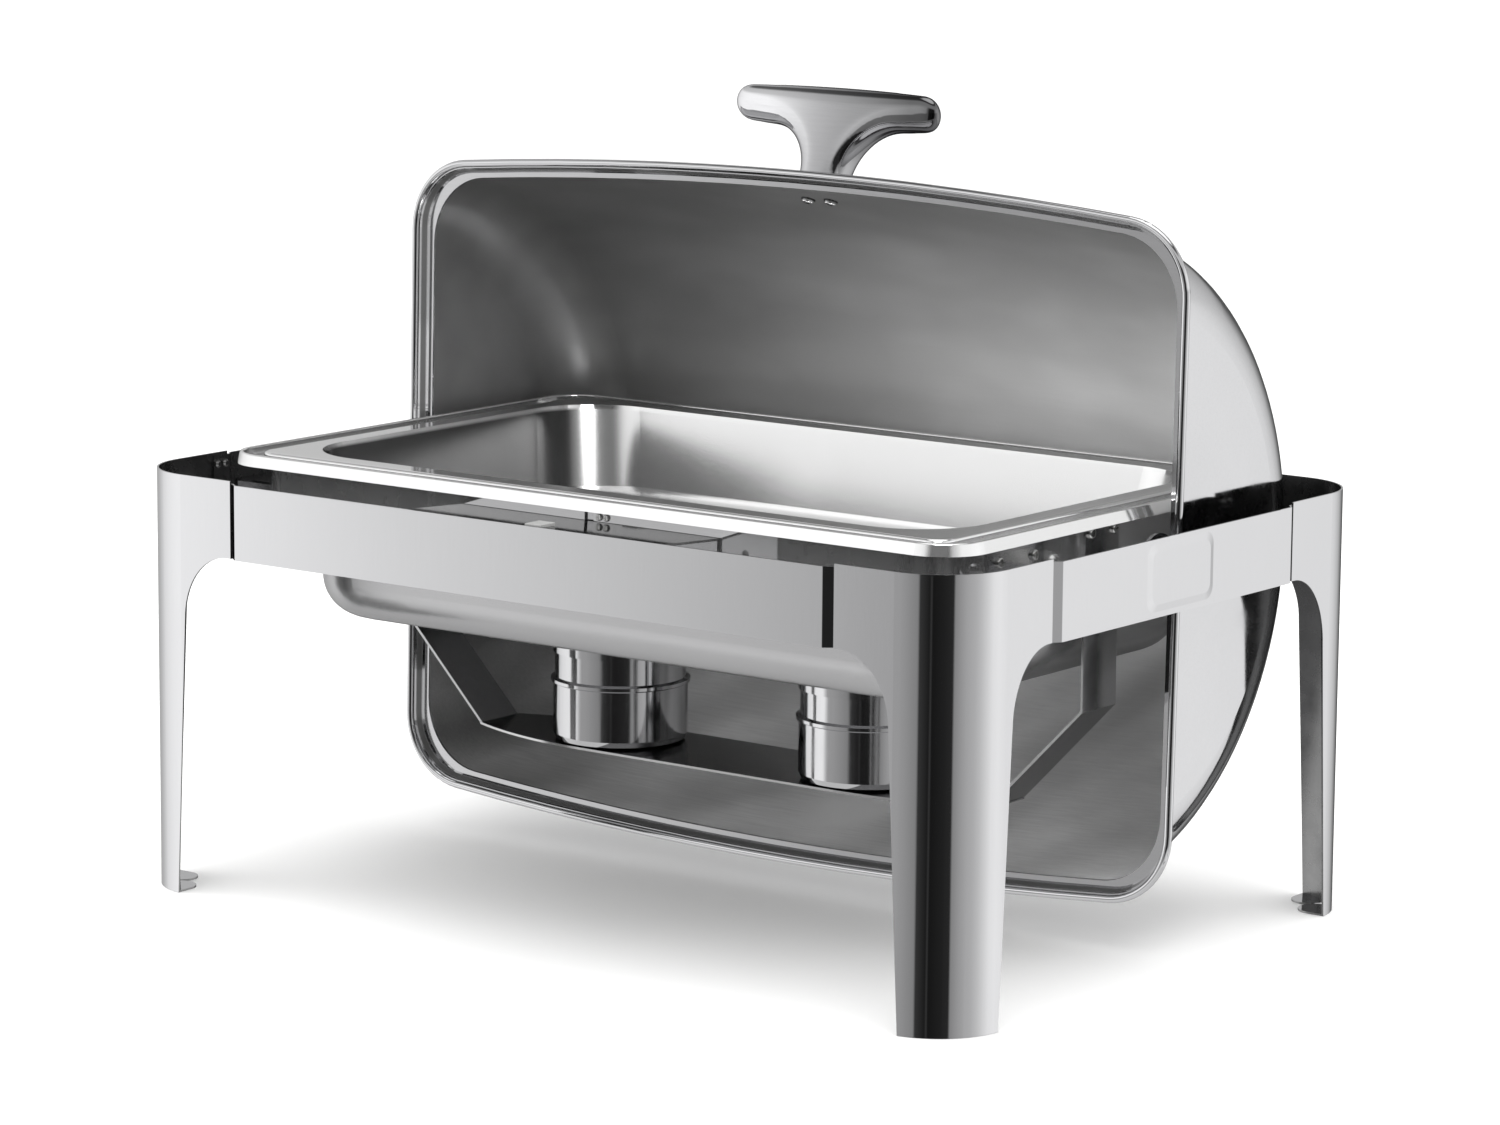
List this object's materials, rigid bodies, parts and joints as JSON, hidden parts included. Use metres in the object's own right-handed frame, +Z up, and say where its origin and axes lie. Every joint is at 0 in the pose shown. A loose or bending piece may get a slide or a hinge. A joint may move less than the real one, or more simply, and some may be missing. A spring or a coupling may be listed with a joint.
{
  "type": "roll-top chafing dish",
  "caption": "Rectangular food warmer: a corner-legged stand holds a water pan and food pan over fuel cups, under a half-barrel lid that rolls open about side pivots.",
  "frame": {"origin": "centre of the stand's footprint, at table height", "axes": "+X to the right along the long side, +Y to the back, +Z up"},
  "size_m": [0.6474, 0.4514, 0.5047],
  "materials": {
    "polished_steel": "mirror polished stainless steel",
    "lid_steel": "polished outside, brushed inside",
    "cast_chrome": "polished casting",
    "satin_steel": "satin",
    "bracket_steel": "satin sheet",
    "fastener_steel": "bright",
    "cup_steel": "polished",
    "can_steel": "tinplate",
    "bush_plastic": "matt",
    "buffer_rubber": "soft clear grey"
  },
  "bodies": {
    "stand": {"front_left_leg": "polished_steel", "front_right_leg": "polished_steel", "rear_left_leg": "polished_steel", "rear_right_leg": "polished_steel", "front_rail": "polished_steel", "rear_rail": "polished_steel", "left_rail": "polished_steel", "right_rail": "polished_steel", "rail_nuts": "fastener_steel", "support_ring": "bracket_steel", "ring_joint": "bracket_steel", "ring_screws": "fastener_steel", "front_ledge": "bracket_steel", "left_side_bracket": "bracket_steel", "right_side_bracket": "bracket_steel", "bracket_screws": "fastener_steel", "lid_buffer": "buffer_rubber", "fuel_tray": "bracket_steel", "tray_screws": "fastener_steel", "left_pivot_plate": "bracket_steel", "left_pivot_pin": "fastener_steel", "left_pivot_bush": "bush_plastic", "left_pivot_washer": "fastener_steel", "left_pivot_nut": "fastener_steel", "right_pivot_plate": "bracket_steel", "right_pivot_pin": "fastener_steel", "right_pivot_bush": "bush_plastic", "right_pivot_washer": "fastener_steel", "right_pivot_nut": "fastener_steel"},
    "lid": {"lid_shell": "lid_steel", "left_lid_ear": "bracket_steel", "right_lid_ear": "bracket_steel", "ear_rivets": "fastener_steel", "lid_handle": "cast_chrome", "handle_screws": "fastener_steel", "handle_washers": "fastener_steel"},
    "water_pan": {"water_pan": "satin_steel"},
    "food_pan": {"food_pan": "satin_steel"},
    "left_cup": {"left_fuel_cup": "cup_steel", "left_fuel_can": "can_steel", "left_cup_cover": "cup_steel", "left_snuffer_rivet": "fastener_steel"},
    "left_snuffer": {"left_snuffer": "cup_steel"},
    "right_cup": {"right_fuel_cup": "cup_steel", "right_fuel_can": "can_steel", "right_cup_cover": "cup_steel", "right_snuffer_rivet": "fastener_steel"},
    "right_snuffer": {"right_snuffer": "cup_steel"}
  },
  "joints": [
    {"name": "lid_hinge", "type": "hinge", "parent": "stand", "child": "lid", "pos_m": [0, 0, 0.2385], "axis": [1, 0, 0], "range_deg": [0, 91.3]},
    {"name": "water_pan_lift", "type": "slide", "parent": "stand", "child": "water_pan", "axis": [0, 0, 1], "range_m": [0, 0.01]},
    {"name": "food_pan_lift", "type": "slide", "parent": "water_pan", "child": "food_pan", "axis": [0, 0, 1], "range_m": [0, 0.062]},
    {"name": "left_cup_slide", "type": "slide", "parent": "stand", "child": "left_cup", "axis": [0, -1, 0], "range_m": [0, 0.16]},
    {"name": "left_snuffer_swivel", "type": "hinge", "parent": "left_cup", "child": "left_snuffer", "pos_m": [-0.1357, 0, 0.155], "axis": [0, 0, 1], "range_deg": [0, 110]},
    {"name": "right_cup_slide", "type": "slide", "parent": "stand", "child": "right_cup", "axis": [0, -1, 0], "range_m": [0, 0.16]},
    {"name": "right_snuffer_swivel", "type": "hinge", "parent": "right_cup", "child": "right_snuffer", "pos_m": [0.0603, 0, 0.155], "axis": [0, 0, 1], "range_deg": [0, 110]}
  ]
}
